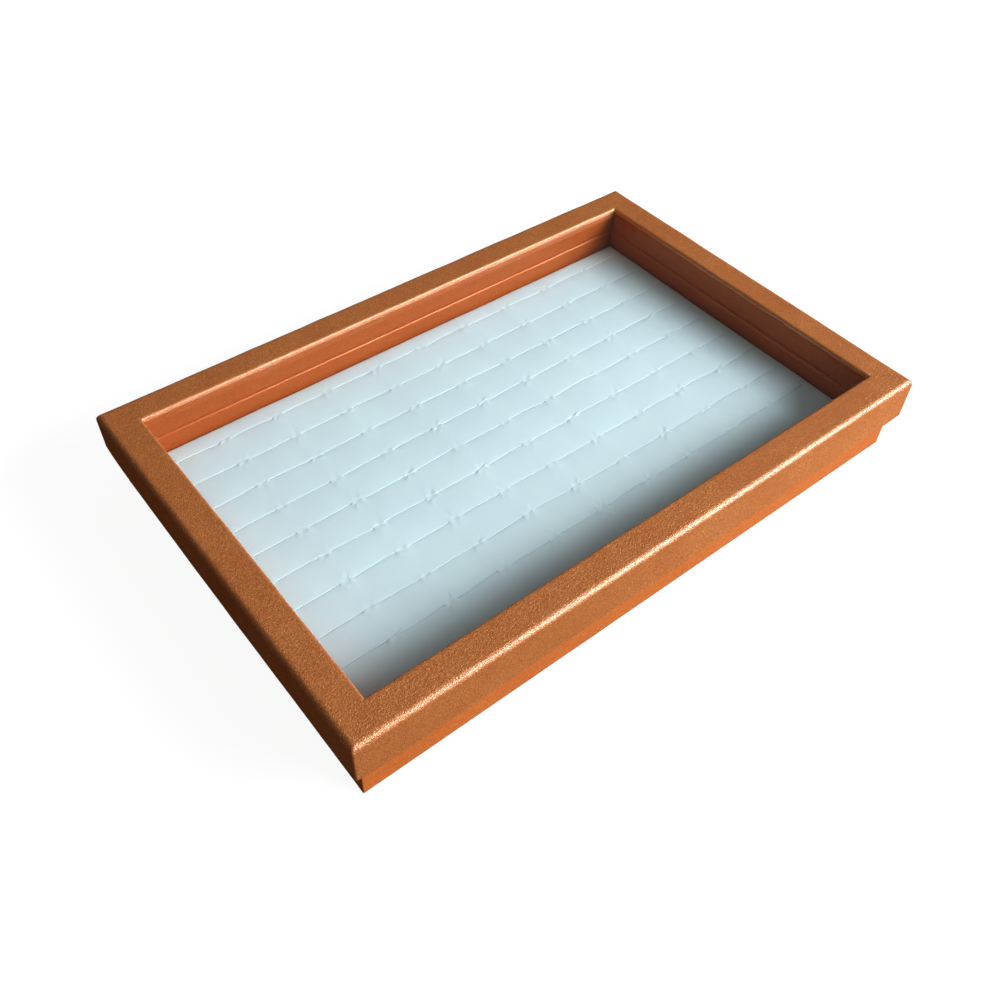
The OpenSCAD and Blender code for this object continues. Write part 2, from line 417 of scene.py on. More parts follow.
@dataclass(frozen=True)
class Leatherette(Finish):
    """Metallic leatherette: winding grain over fine pebbles, under a thin top coat, with painted glints
    on the grain's crests and painted shade in darker specks.
    """

    tone: Rgb
    # Colour of darker random specks: painted shade meant for the grain's hollows.
    painted_shade: Rgb
    # Colour of the painted glints on the grain's crests.
    painted_glint: Rgb
    index: float
    roughness: float
    grain_mm: float
    grain_depth_mm: float
    pebble_mm: float
    pebble_depth_mm: float
    metal: float = 0.0
    coat: float = 0.4
    coat_roughness: float = 0.12
    coat_index: float = 1.5
    brushed_depth_mm: float = 0.0
    dulling: float = 0.4
    sheen: Rgb = (1.0, 0.86, 0.6)

    def shader(self, paint: Paint) -> bpy.types.NodeSocket:
        """Grain over pebbles, under a coat that dulls where it is seen edge-on.

        Args:
            paint: The tree that the nodes go into.

        Returns:
            The finished surface.
        """
        patches = paint.noise(42, detail=3, roughness=0.6)
        specks = paint.noise(0.5 * self.grain_mm, detail=2, roughness=0.6)
        grain = paint.ridges(
            paint.noise(self.grain_mm, detail=2.5, roughness=0.6, distortion=0.9), sharpness=5.0
        )
        # Painted shade: darker specks at random places, standing in for shade in the grain's hollows.
        tone = paint.between(specks, 0.34, 0.56, self.painted_shade, self.tone)
        # Painted highlight: the glint colour on the grain's crests, thinned at random, stands in for
        # the lamp's glints.
        glint_share = paint.calc("MULTIPLY", grain, paint.span(specks, 0.35, 0.65, 0.3, 1.0))
        glint_share = paint.calc("MULTIPLY", glint_share, paint.span(patches, 0.3, 0.7, 0.75, 1.1))
        colour = paint.between(glint_share, 0.25, 1.35, tone, self.painted_glint)
        coated = paint.bump(grain, 0.6 * self.grain_depth_mm)
        normal = paint.bump(paint.cells(self.pebble_mm), self.pebble_depth_mm)
        normal = paint.bump(grain, self.grain_depth_mm, under=normal)
        if self.brushed_depth_mm:
            along = paint.stretched((0.15, 1.0, 1.0), (0.0, 0.0, 0.35))
            streaks = paint.ridges(paint.noise(1.3, detail=2, at=along), sharpness=5.0)
            normal = paint.bump(streaks, self.brushed_depth_mm, under=normal)
        facing = paint.node("ShaderNodeLayerWeight").outputs["Facing"]
        grazing = paint.span(facing, 0.52, 0.72, 0.0, 1.0)
        rough = paint.span(specks, 0.3, 0.7, self.roughness + 0.05, self.roughness - 0.05)
        return paint.principled(
            Base_Color=colour,
            Metallic=self.metal,
            IOR=self.index,
            Specular_Tint=(*self.sheen, 1.0),
            Roughness=paint.calc("ADD", rough, paint.calc("MULTIPLY", grazing, self.dulling)),
            Coat_Weight=paint.span(grazing, 0.0, 1.0, self.coat, 0.1 * self.coat),
            Coat_Roughness=self.coat_roughness,
            Coat_IOR=self.coat_index,
            Normal=normal,
            Coat_Normal=coated,
        )


@dataclass(frozen=True)
class Velvet(Finish):
    """White short-pile velvet with a cool cast, brushed patches and a soft sheen."""

    cool: Rgb
    grey: Rgb
    pile_mm: float = 0.35

    def shader(self, paint: Paint) -> bpy.types.NodeSocket:
        """Cool and grey patches over a fine pile, with a faint sheen.

        Args:
            paint: The tree that the nodes go into.

        Returns:
            The finished surface.
        """
        brushed = paint.noise(26, detail=3, roughness=0.6, at=paint.stretched((1.4, 0.6, 1.0)))
        pile = paint.noise(self.pile_mm, detail=3, roughness=0.7)
        nap = paint.noise(2.4, detail=3, at=paint.stretched((1.6, 0.5, 1.0)))
        colour = paint.between(brushed, 0.35, 0.65, self.grey, self.cool)
        normal = paint.bump(pile, 0.05, strength=0.6)
        normal = paint.bump(nap, 0.1, strength=0.35, under=normal)
        return paint.principled(
            Base_Color=colour,
            Roughness=0.95,
            Specular_IOR_Level=0.1,
            Sheen_Weight=0.08,
            Sheen_Roughness=0.4,
            Sheen_Tint=(0.9, 0.97, 1.0),
            Normal=normal,
        )


@dataclass(frozen=True)
class PaneGlass(Finish):
    """Clear float glass that lets the light through to what lies under it."""

    tint: Rgb = (0.985, 0.995, 0.99)

    def shader(self, paint: Paint) -> bpy.types.NodeSocket:
        """Clear glass to the eye, and nothing at all to light that passes through it.

        Args:
            paint: The tree that the nodes go into.

        Returns:
            The finished surface.
        """
        ripple = paint.bump(paint.noise(45, detail=1), 0.02, strength=0.3)
        glass = paint.principled(
            Base_Color=self.tint,
            Roughness=0.0,
            IOR=1.5,
            Transmission_Weight=1.0,
            Normal=ripple,
        )
        clear = paint.node("ShaderNodeBsdfTransparent").outputs[0]
        path = paint.node("ShaderNodeLightPath")
        unseen = paint.calc("MAXIMUM", path.outputs["Is Shadow Ray"], path.outputs["Is Diffuse Ray"])
        return paint.mixed(unseen, glass, clear)


@dataclass(frozen=True)
class Fibreboard(Finish):
    """Pressed board: flecked with short fibres of two tones."""

    pale: Rgb
    dark: Rgb
    fibre_mm: float = 0.5

    def shader(self, paint: Paint) -> bpy.types.NodeSocket:
        """Short fibres, in patches of the two tones.

        Args:
            paint: The tree that the nodes go into.

        Returns:
            The finished surface.
        """
        fibres = paint.noise(self.fibre_mm, detail=4, roughness=0.7)
        clumps = paint.noise(6, detail=2)
        patches = paint.between(clumps, 0.3, 0.7, self.pale, self.dark)
        colour = paint.between(fibres, 0.35, 0.7, self.dark, patches)
        normal = paint.bump(fibres, 0.08, strength=0.6)
        return paint.principled(Base_Color=colour, Roughness=0.9, Normal=normal)


@dataclass(frozen=True)
class Steel(Finish):
    """Bright drawn wire with fine marks along it."""

    def shader(self, paint: Paint) -> bpy.types.NodeSocket:
        """Bright metal with fine drawn marks.

        Args:
            paint: The tree that the nodes go into.

        Returns:
            The finished surface.
        """
        marks = paint.noise(0.12, detail=2, at=paint.stretched((1.0, 1.0, 0.06)))
        return paint.principled(
            Base_Color=paint.between(marks, 0.3, 0.7, (0.42, 0.43, 0.45), (0.62, 0.63, 0.65)),
            Metallic=1.0,
            Roughness=0.32,
            Normal=paint.bump(marks, 0.01, strength=0.4),
        )


@dataclass(frozen=True)
class Flock(Finish):
    """Paper with a short black flock."""

    def shader(self, paint: Paint) -> bpy.types.NodeSocket:
        """A deep black pile that catches a little light at its edges.

        Args:
            paint: The tree that the nodes go into.

        Returns:
            The finished surface.
        """
        pile = paint.noise(0.3, detail=3, roughness=0.7)
        patches = paint.noise(30, detail=2)
        return paint.principled(
            Base_Color=paint.between(patches, 0.3, 0.7, (0.006, 0.006, 0.007), (0.013, 0.012, 0.012)),
            Roughness=0.95,
            Sheen_Weight=0.3,
            Sheen_Roughness=0.5,
            Normal=paint.bump(pile, 0.08, strength=0.7),
        )


def add_object(name: str, points: np.ndarray, faces: list, crease_deg: float) -> bpy.types.Object:
    """Makes a smooth-shaded mesh object with sharp edges where faces turn.

    Args:
        name: The object's name.
        points: Vertices in millimetres, one row each.
        faces: Vertex numbers of each face.
        crease_deg: Edges that turn by more than this stay sharp.

    Returns:
        The new object, at the origin of the row frame.
    """
    mesh = bpy.data.meshes.new(name)
    mesh.from_pydata((np.asarray(points) * MM).tolist(), [], [list(map(int, f)) for f in faces])
    mesh.update()
    mesh.shade_smooth()
    mesh.set_sharp_from_angle(angle=math.radians(crease_deg))
    made = bpy.data.objects.new(name, mesh)
    bpy.context.scene.collection.objects.link(made)
    return made


def arc(centre: tuple[float, float], radius: float, start: float, end: float, steps: int) -> np.ndarray:
    """Points on an arc.

    Args:
        centre: The arc's centre.
        radius: Its radius.
        start: First angle, in degrees.
        end: Last angle, in degrees.
        steps: Number of stretches.

    Returns:
        One row per point.
    """
    angles = np.radians(np.linspace(start, end, steps + 1))
    return np.c_[centre[0] + radius * np.cos(angles), centre[1] + radius * np.sin(angles)]


def line(start: tuple[float, float], end: tuple[float, float], steps: int) -> np.ndarray:
    """Points on a line without its two ends."""
    shares = np.linspace(0, 1, steps + 1)[1:-1, None]
    return np.array(start) * (1 - shares) + np.array(end) * shares


def swell(points: np.ndarray, seed: int, longest: float, shortest: float) -> np.ndarray:
    """A slow random swell over space, from a few crossing waves.

    Args:
        points: Places in millimetres, one row each.
        seed: Which swell.
        longest: The longest wave, in millimetres.
        shortest: The shortest wave, in millimetres.

    Returns:
        One value for each place, mostly from -1 to 1.
    """
    random = np.random.default_rng(seed)
    total = np.zeros(len(points))
    waves = 9
    for wave in range(waves):
        length = longest * (shortest / longest) ** (wave / (waves - 1))
        direction = random.normal(size=points.shape[1])
        direction /= np.linalg.norm(direction)
        phase = random.uniform(0, 2 * math.pi)
        total += np.sin(points @ direction * 2 * math.pi / length + phase) / waves**0.5
    return total


def smooth(share: np.ndarray) -> np.ndarray:
    """Eases a share from 0 to 1, and holds it there outside."""
    held = np.clip(share, 0, 1)
    return held * held * (3 - 2 * held)


def stations(run: float, near_end: float, middle: float, end_zone: float) -> np.ndarray:
    """Places along a straight side, closer together towards its ends.

    Args:
        run: Length of the side.
        near_end: Spacing near the ends.
        middle: Spacing in the middle.
        end_zone: How far from an end the close spacing reaches.

    Returns:
        Shares of the side, from 0 to 1.
    """
    close = np.arange(0, end_zone, near_end)
    wide = np.linspace(end_zone, run - end_zone, max(2, round((run - 2 * end_zone) / middle)) + 1)
    return np.concatenate([close, wide, run - close[::-1]]) / run


@dataclass
class BoxSizes:
    """Sizes that the pieces share, read from the frame, in millimetres.

    An inset is a distance in from the lid's outside.
    """

    length: float
    width: float
    top: float
    lid_bottom: float
    rest: float
    lip: float
    glass_bottom: float
    floor_skin: float
    strip_low: float
    underside: float
    lining: float
    rebate: float
    tray_out: float
    tray_skin_in: float
    tray_in: float
    pad_out: float
    pad_bottom: float
    pad_top: float
    skin: float = 0.7
    skirt_inside: float = 3.8
    lining_setback: float = 0.8

    @property
    def window(self) -> float:
        """Inset of the window's edge, which stands past the strips under the glass."""
        return self.lining + self.lining_setback

    def spans(self, side: Side) -> tuple[float, float]:
        """How long the lid is along a side, and across it."""
        return (self.length, self.width) if side.runs_along_x else (self.width, self.length)

    @classmethod
    def from_frame(cls) -> "BoxSizes":
        """Measures the frame's nodes.

        Returns:
            The box's sizes.
        """

        def edges(node: str) -> tuple[np.ndarray, np.ndarray]:
            """A node's lowest and highest corners, in millimetres."""
            low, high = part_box(node)
            return np.array(low) / MM, np.array(high) / MM

        lid_low, lid_high = edges("lid_cover")
        glass_low, glass_high = edges("lid_glass")
        liner_low, liner_high = edges("lid_liner_front")
        tray_low, tray_high = edges("tray_cover")
        strip_low, strip_high = edges("tray_liner_front")
        floor_low, _ = edges("tray_floor")
        pad_low, pad_high = edges("pad_velvet")
        return cls(
            length=lid_high[0] - lid_low[0],
            width=lid_high[1] - lid_low[1],
            top=lid_high[2],
            lid_bottom=lid_low[2],
            rest=liner_low[2],
            lip=glass_high[2],
            glass_bottom=glass_low[2],
            floor_skin=floor_low[2],
            strip_low=strip_low[2],
            underside=tray_low[2],
            lining=liner_high[1] - lid_low[1],
            rebate=liner_low[1] - lid_low[1],
            tray_out=tray_low[1] - lid_low[1],
            tray_skin_in=strip_low[1] - lid_low[1],
            tray_in=strip_high[1] - lid_low[1],
            pad_out=pad_low[1] - lid_low[1],
            pad_bottom=pad_low[2],
            pad_top=pad_high[2],
        )


@dataclass
class Wrap:
    """A sheet of leatherette wrapped right round the box, as one closed skin.

    Its section is a closed outline of (inset, height) points. Each point also has the
    radius of the upright corner there, and a share of the surface's slow swell.
    """

    sizes: BoxSizes
    corner_steps: int = 6
    close_spacing: float = 1.3
    wide_spacing: float = 4.5
    end_zone: float = 16.0

    def plan(self, inset: float, radius: float) -> tuple[np.ndarray, np.ndarray]:
        """One loop of the skin, seen from above.

        Args:
            inset: How far the loop lies in from the lid's outside.
            radius: Radius of its corners.

        Returns:
            The loop's points and the outward direction at each.
        """
        points, outward = [], []
        for side in Side:
            run, across = self.sizes.spans(side)
            half_run, half_across = run / 2 - inset, across / 2 - inset
            shares = stations(run, self.close_spacing, self.wide_spacing, self.end_zone)
            along = (half_run - radius) * (2 * shares - 1)
            straight = np.c_[along, np.full(len(along), -half_across)]
            fan = arc((0, 0), 1, -90, 0, self.corner_steps)[1:-1]
            bend = np.array((half_run - radius, radius - half_across)) + radius * fan
            facing = np.r_[np.tile([0.0, -1.0], (len(along), 1)), fan]
            turned = np.array(side.turn).T[:2, :2]
            points.append(np.r_[straight, bend] @ turned)
            outward.append(facing @ turned)
        return np.concatenate(points), np.concatenate(outward)

    def skin(
        self, name: str, section: np.ndarray, swell_mm: float, seed: int,
        settle: Callable[[np.ndarray], np.ndarray] | None = None,
    ) -> bpy.types.Object:
        """Sweeps a section round the box.

        Args:
            name: The new object's name.
            section: Rows of inset, height, corner radius and share of the swell.
            swell_mm: Height of the slow swell.
            seed: Which swell.
            settle: Moves the points once more, or None.

        Returns:
            The closed skin.
        """
        loops, directions = [], []
        ahead = np.roll(section[:, :2], -1, 0) - np.roll(section[:, :2], 1, 0)
        facing = np.c_[ahead[:, 1], -ahead[:, 0]] / np.linalg.norm(ahead, axis=1)[:, None]
        for (inset, height, radius, _), (inward, upward) in zip(section, facing):
            flat, outward = self.plan(inset, radius)
            loops.append(np.c_[flat, np.full(len(flat), height)])
            directions.append(np.c_[-inward * outward, np.full(len(flat), upward)])
        points = np.concatenate(loops)
        share = np.repeat(section[:, 3], len(loops[0]))
        rise = swell(points, seed, longest=90, shortest=14) * swell_mm * share
        points += np.concatenate(directions) * rise[:, None]
        if settle is not None:
            points = settle(points)
        return add_object(name, points, ring_faces(len(section), len(loops[0])), CREASE_DEG)


def ring_faces(loops: int, around: int) -> np.ndarray:
    """Quads that join a closed set of closed loops.

    Args:
        loops: Number of loops.
        around: Number of points in each.

    Returns:
        One row of four vertex numbers per face.
    """
    loop, step = np.meshgrid(np.arange(loops), np.arange(around), indexing="ij")
    after, beside = (loop + 1) % loops, (step + 1) % around
    quads = np.stack(
        [loop * around + step, after * around + step, after * around + beside, loop * around + beside],
        axis=-1,
    )
    return quads.reshape(-1, 4)


@dataclass
class Lid:
    """The glazed frame lid: its covering, its glass and the strips under the glass."""

    sizes: BoxSizes
    covering: bpy.types.Material
    lining: bpy.types.Material
    glass: bpy.types.Material
    board: bpy.types.Material
    steel: bpy.types.Material
    top_round: float = 3.2
    window_round: float = 1.5
    hem_round: float = 0.7
    corner_round: float = 0.9
    window_corner: float = 0.45
    swell_mm: float = 0.09
    corner_lifts: tuple[float, float, float, float] = (1.9, 0.5, 0.9, 4.6)
    corner_reach: float = 8.0
    hem_bow: float = 0.45
    hem_reach: float = 12.0

    def settle(self, points: np.ndarray) -> np.ndarray:
        """Draws the skirt's hem up at the folded corners and lets it bow out between them.

        Args:
            points: The covering's points.

        Returns:
            The moved points.
        """
        size = self.sizes
        ends = np.array([size.length / 2, size.width / 2])
        off_ends = ends - np.abs(points[:, :2])
        along = np.max(off_ends, axis=1)
        near_left, near_right, far_right, far_left = self.corner_lifts
        lifts = np.array([[far_right, far_left], [near_right, near_left]])
        lift = lifts[(points[:, 1] < 0).astype(int), (points[:, 0] < 0).astype(int)]
        low = np.clip((size.lid_bottom + self.hem_reach - points[:, 2]) / self.hem_reach, 0, 1)
        moved = points.copy()
        moved[:, 2] += lift * np.exp(-along / self.corner_reach) * low
        for axis, across in ((0, 1), (1, 0)):
            near_side = off_ends[:, across] < size.skirt_inside + 0.1
            middle = 1 - (points[:, axis] / ends[axis]) ** 2
            outward = np.sign(points[:, across]) * self.hem_bow * middle * low * near_side
            moved[:, across] += outward
        return moved

    def section(self) -> np.ndarray:
        """The covering's section, from the glass out over the frame and up inside the skirt.

        Returns:
            Rows of inset, height, corner radius and share of the swell.
        """
        size, skin = self.sizes, self.sizes.skin
        window, edge, hem = self.window_round, self.top_round, self.hem_round
        outside = np.concatenate([
            [(size.window, size.lip)],
            arc((size.window - window, size.top - window), window, 0, 90, 7),
            line((size.window - window, size.top), (edge, size.top), 10),
            arc((edge, size.top - edge), edge, 90, 180, 10),
            line((0, size.top - edge), (0, size.lid_bottom + hem), 10),
            arc((hem, size.lid_bottom + hem), hem, 180, 270, 5),
            arc((size.skirt_inside - hem, size.lid_bottom + hem), hem, -90, 0, 5),
            [(size.skirt_inside, size.rest)],
            line((size.skirt_inside, size.rest), (size.rebate, size.rest), 3),
            [(size.rebate, size.rest)],
        ])
        board_edge = self.top_round - skin
        inside = np.concatenate([
            [(size.rebate, size.rest + skin)],
            [(size.skirt_inside - skin, size.rest + skin)],
            [(size.skirt_inside - skin, size.lid_bottom + skin)],
            [(skin, size.lid_bottom + skin)],
            arc((edge, size.top - edge), board_edge, 180, 90, 4),
            arc((size.window - window, size.top - window), window - skin, 90, 0, 3),
            [(size.window - skin, size.lip)],
        ])
        return self.finished(outside, inside)

    def finished(self, outside: np.ndarray, inside: np.ndarray) -> np.ndarray:
        """Adds corner radii and shares of the swell to a section.

        Args:
            outside: Points on the face that shows.
            inside: Points on the face against the boards.

        Returns:
            The whole section.
        """
        size = self.sizes
        rows = np.concatenate([outside, inside])
        towards_window = np.clip(rows[:, 0] / size.window, 0, 1)
        radius = self.corner_round * (1 - towards_window) + self.window_corner * towards_window
        shows = (rows[:, 1] > size.top - self.top_round - 0.01) | (rows[:, 0] < 0.01)
        shows[0] = False
        shows[len(outside) :] = False
        return np.c_[rows, radius, shows]

    def build(self) -> None:
        """Makes the lid's own pieces and dresses the frame's nodes."""
        cover = Wrap(self.sizes).skin(
            "lid_covering", self.section(), self.swell_mm, seed=11, settle=self.settle
        )
        place(cover, Body.LID, "lid_leatherette", self.covering, "lid_cover")
        size = self.sizes
        for side in Side:
            LiningStrip(
                size, side, back=size.rebate, face=size.lining, low=size.rest,
                high=size.glass_bottom, top_round=0.15, bottom_round=0.5,
            ).fit(Body.LID, self.lining)
            dress(f"lid_rail_{side.word}", self.board)
            dress(f"lid_skirt_{side.word}", self.board)
        dress("lid_glass", self.glass)
        dress("lid_corner_nails", self.steel)


@dataclass
class LiningStrip:
    """A board strip covered with lining leatherette, mitred at both ends."""

    sizes: BoxSizes
    side: Side
    back: float
    face: float
    low: float
    high: float
    top_round: float
    bottom_round: float
    swell_mm: float = 0.05

    def section(self) -> np.ndarray:
        """The strip's section, with its two inner edges rounded.

        Returns:
            Rows of inset and height.
        """
        return np.concatenate([
            [(self.back, self.high), (self.back, self.low)],
            arc((self.face - self.bottom_round, self.low + self.bottom_round),
                self.bottom_round, -90, 0, 5),
            line((self.face, self.low + self.bottom_round), (self.face, self.high - self.top_round), 5),
            arc((self.face - self.top_round, self.high - self.top_round), self.top_round, 0, 90, 6),
        ])

    def build(self, name: str) -> bpy.types.Object:
        """Makes the strip.

        Args:
            name: The new object's name.

        Returns:
            The closed strip.
        """
        section = self.section()
        run, across = self.sizes.spans(self.side)
        shares = stations(run, near_end=2.0, middle=6.0, end_zone=12.0)
        along = (run / 2 - section[:, 0])[None, :] * (2 * shares - 1)[:, None]
        inset = np.tile(section[:, 0], (len(shares), 1))
        height = np.tile(section[:, 1], (len(shares), 1))
        points = np.stack([along, inset - across / 2, height], axis=-1).reshape(-1, 3)
        shows = np.tile((section[:, 0] > self.face - 0.4).astype(float), len(shares))
        wave = swell(points, 30 + self.side.value, longest=70, shortest=12) - 1
        points[:, 1] += np.minimum(wave, 0) * self.swell_mm * shows
        count = len(section)
        faces = ring_faces(len(shares), count)[: (len(shares) - 1) * count].tolist()
        faces.append(list(range(count)))
        faces.append(list(range(len(points) - 1, len(points) - 1 - count, -1)))
        return add_object(name, points @ np.array(self.side.turn).T, faces, CREASE_DEG)

    def fit(self, body: Body, finish: bpy.types.Material) -> None:
        """Makes the strip and puts it in place of a body's liner on this side."""
        strip = self.build(f"{body.value}_lining_{self.side.word}")
        place(strip, body, "lining_leatherette", finish, f"{body.value}_liner_{self.side.word}")


@dataclass
class Tray:
    """The covered tray: its covering, lining strips, boards, fixings and underlay."""

    sizes: BoxSizes
    covering: bpy.types.Material
    lining: bpy.types.Material
    board: bpy.types.Material
    steel: bpy.types.Material
    flock: bpy.types.Material
    card: bpy.types.Material
    rim_round: float = 1.0
    foot_round: float = 0.45
    corner_round: float = 0.6
    turned_under: float = 12.0
    swell_mm: float = 0.07

    def section(self) -> np.ndarray:
        """The covering's section, from the rim's inner edge down and in under the floor.

        Returns:
            Rows of inset, height, corner radius and share of the swell.
        """
        size, skin = self.sizes, self.sizes.skin
        rim, foot, out = self.rim_round, self.foot_round, self.sizes.tray_out
        outside = np.concatenate([
            [(size.tray_skin_in, size.rest)],
            line((size.tray_skin_in, size.rest), (out + rim, size.rest), 4),
            arc((out + rim, size.rest - rim), rim, 90, 180, 5),
            line((out, size.rest - rim), (out, size.underside + foot), 10),
            arc((out + foot, size.underside + foot), foot, 180, 270, 5),
            [(out + self.turned_under, size.underside)],
        ])
        inside = np.array([
            (out + self.turned_under, size.floor_skin),
            (out + skin, size.floor_skin),
            (out + skin, size.rest - skin),
            (size.tray_skin_in, size.rest - skin),
        ])
        rows = np.concatenate([outside, inside])
        shows = np.isclose(rows[:, 0], out)
        return np.c_[rows, np.full(len(rows), self.corner_round), shows]

    def build(self) -> None:
        """Makes the tray's own pieces and dresses the frame's nodes."""
        cover = Wrap(self.sizes).skin("tray_covering", self.section(), self.swell_mm, seed=23)
        place(cover, Body.TRAY, "tray_leatherette", self.covering, "tray_cover")
        size = self.sizes
        for side in Side:
            LiningStrip(
                size, side, back=size.tray_skin_in, face=size.tray_in, low=size.strip_low,
                high=size.rest, top_round=1.9, bottom_round=0.4,
            ).fit(Body.TRAY, self.lining)
            dress(f"tray_wall_{side.word}", self.board)
        dress("tray_floor", self.board)
        dress("tray_corner_nails", self.steel)
        dress("tray_floor_pins", self.steel)
        dress("tray_underlay", self.flock)
        dress("pad_card", self.card)


@dataclass
class RingPad:
    """The velvet pad: soft bands of foam between rows of closed slots, pinched at each bridge."""

    sizes: BoxSizes
    velvet: bpy.types.Material
    columns: int = 10
    rows: int = 10
    end_margin: float = 2.7
    row_margin: float = 11.8
    bridge: float = 6.8
    bridge_start: float = 1.0
    bridge_fade: float = 1.6
    bridge_flare: float = 0.6
    slot_depth: float = 9.0
    below_top: float = 0.3
    rear_roll: float = 0.22
    rear_reach: float = 2.4
    front_roll: float = 0.38
    front_reach: float = 4.0
    saddle: float = 0.03
    saddle_reach: float = 3.0
    calm_end: float = 6.0
    cut_past_end: float = 0.1
    cut_fade: float = 0.35
    slot_flare: float = 2.2
    lip_round: float = 0.9
    lip_drop: float = 0.06
    puff: float = 0.15
    puff_before_end: float = 1.5
    puff_reach: float = 1.8
    dimple: float = 0.24
    dimple_reach: float = 1.5
    wave: float = 0.12
    drift_reach: float = 5.0
    drift_margin: float = 8.0
    pucker: float = 0.045
    pucker_radius: float = 2.4
    pucker_reach: float = 2.2
    pucker_limit: float = 12.0
    edge_round: float = 2.0
    edge_sag: float = 1.5
    edge_reach: float = 4.0
    gap: float = 0.09
    crease_deg: float = 60.0
    seed: int = 5
    slot_middle: tuple[float, ...] = (0.0, 3.0, 6.0)
    off_slot_end: tuple[float, ...] = (
        -4.2, -2.6, -1.6, -1.0, -0.6, -0.3, -0.1, 0.1, 0.3, 0.6, 1.0, 1.5, 2.1,
    )
    beside_slot: tuple[float, ...] = (
        0.0, 0.09, 0.16, 0.24, 0.34, 0.47, 0.65, 0.9, 1.25, 1.75, 2.4, 3.3, 4.4, 5.9, 7.6,
    )

    def __post_init__(self) -> None:
        """Works out the pad's pitches."""
        self.half_length = self.sizes.length / 2 - self.sizes.pad_out
        self.half_width = self.sizes.width / 2 - self.sizes.pad_out
        self.column_pitch = (2 * self.half_length - 2 * self.end_margin) / self.columns
        self.row_pitch = (2 * self.half_width - 2 * self.row_margin) / (self.rows - 1)
        self.slot_half = (self.column_pitch - self.bridge) / 2
        self.level = self.sizes.pad_top - self.below_top
        self.random = np.random.default_rng(self.seed)
        shape = (self.rows, self.columns)
        self.shift = self.random.normal(0, 0.2, shape)
        self.tilt = self.random.normal(0, 0.3, shape)
        self.bow = self.random.normal(-0.1, 0.22, shape)
        self.lift = self.random.uniform(0.7, 1.3, shape)
        self.open = self.random.uniform(0.75, 1.2, shape)

    def column_lines(self) -> np.ndarray:
        """Places of the mesh's lines along the rows: close at slot ends and at the pad's own ends.

        Returns:
            X of each line, in millimetres.
        """
        edge = np.array([0.0, 0.15, 0.4, 0.75, 1.2, 2.0])
        lines = [-self.half_length + edge, self.half_length - edge]
        middle = self.slot_half + self.bridge / 2
        for column in range(self.columns):
            centre = self.column_centre(column)
            for offset in (*self.slot_middle, *(self.slot_half + off for off in self.off_slot_end)):
                lines.append([centre - offset, centre + offset])
            if column:
                lines.append([centre - middle])
        return self.distinct(np.concatenate(lines), self.half_length)

    def row_lines(self) -> np.ndarray:
        """Places of the mesh's lines across the rows: close beside each slot and at the edges.

        Returns:
            Y of each line, in millimetres.
        """
        edge = np.array([0.0, 0.15, 0.4, 0.75, 1.2, 2.0, 3.0, 4.5, 6.5, 9.0])
        lines = [-self.half_width + edge, self.half_width - edge]
        for row in range(self.rows):
            for offset in (*self.beside_slot, self.row_pitch / 2):
                lines.append([self.row_centre(row) - offset, self.row_centre(row) + offset])
        return self.distinct(np.concatenate(lines), self.half_width)

    @staticmethod
    def distinct(values: np.ndarray, limit: float) -> np.ndarray:
        """Sorts places, and drops those outside the pad and those that fall together."""
        inside = np.unique(np.round(values[np.abs(values) <= limit + 1e-6], 4))
        return inside[np.r_[True, np.diff(inside) > 0.04]]

    def column_centre(self, column: float | np.ndarray) -> float | np.ndarray:
        """X of the middle of a slot in a column."""
        return -self.half_length + self.end_margin + (column + 0.5) * self.column_pitch

    def row_centre(self, row: float | np.ndarray) -> float | np.ndarray:
        """Y of a row of slots, counted from the back."""
        return self.half_width - self.row_margin - row * self.row_pitch

    def surface(self) -> tuple[np.ndarray, np.ndarray, np.ndarray]:
        """The velvet's upper surface.

        Returns:
            X, Y and Z of each crossing of the mesh's lines, in millimetres.
        """
        x, y = np.meshgrid(self.column_lines(), self.row_lines(), indexing="ij")
        column = np.floor((x + self.half_length - self.end_margin) / self.column_pitch)
        column = np.clip(column, 0, self.columns - 1).astype(int)
        row = np.round((self.half_width - self.row_margin - y) / self.row_pitch)
        row = np.clip(row, 0, self.rows - 1).astype(int)
        beside = x - self.column_centre(column)
        behind = y - self.row_centre(row)
        past_end = np.abs(beside) - self.slot_half
        away = np.abs(behind)
        flare = self.bridge_flare * away
        bridged = smooth((past_end + self.bridge_start + flare) / (self.bridge_fade + 2 * flare))
        z = self.level + self.bands(x, past_end, behind, bridged, self.lift[row, column])
        z = self.with_slots(z, past_end, away, self.gap * self.open[row, column])
        z += self.puckers(x, y)
        flat = np.c_[x.ravel(), y.ravel()]
        z += self.wave * swell(flat, seed=41, longest=120, shortest=35).reshape(x.shape)
        edge = np.minimum(self.half_length - np.abs(x), self.half_width - np.abs(y))
        fall = np.clip(1 - edge / self.edge_round, 0, 1)
        z -= self.edge_sag * np.exp(-edge / self.edge_reach)
        z -= self.edge_round * (1 - np.sqrt(np.clip(1 - fall**2, 0, 1)))
        share = np.clip(beside / self.slot_half, -1.15, 1.15)
        drift = self.shift[row, column] + self.tilt[row, column] * share
        drift += self.bow[row, column] * (share**2 - 0.5)
        drift *= np.exp(-((away / self.drift_reach) ** 2)) * (1 - bridged)
        return x, y + drift * np.clip(edge / self.drift_margin, 0, 1), z

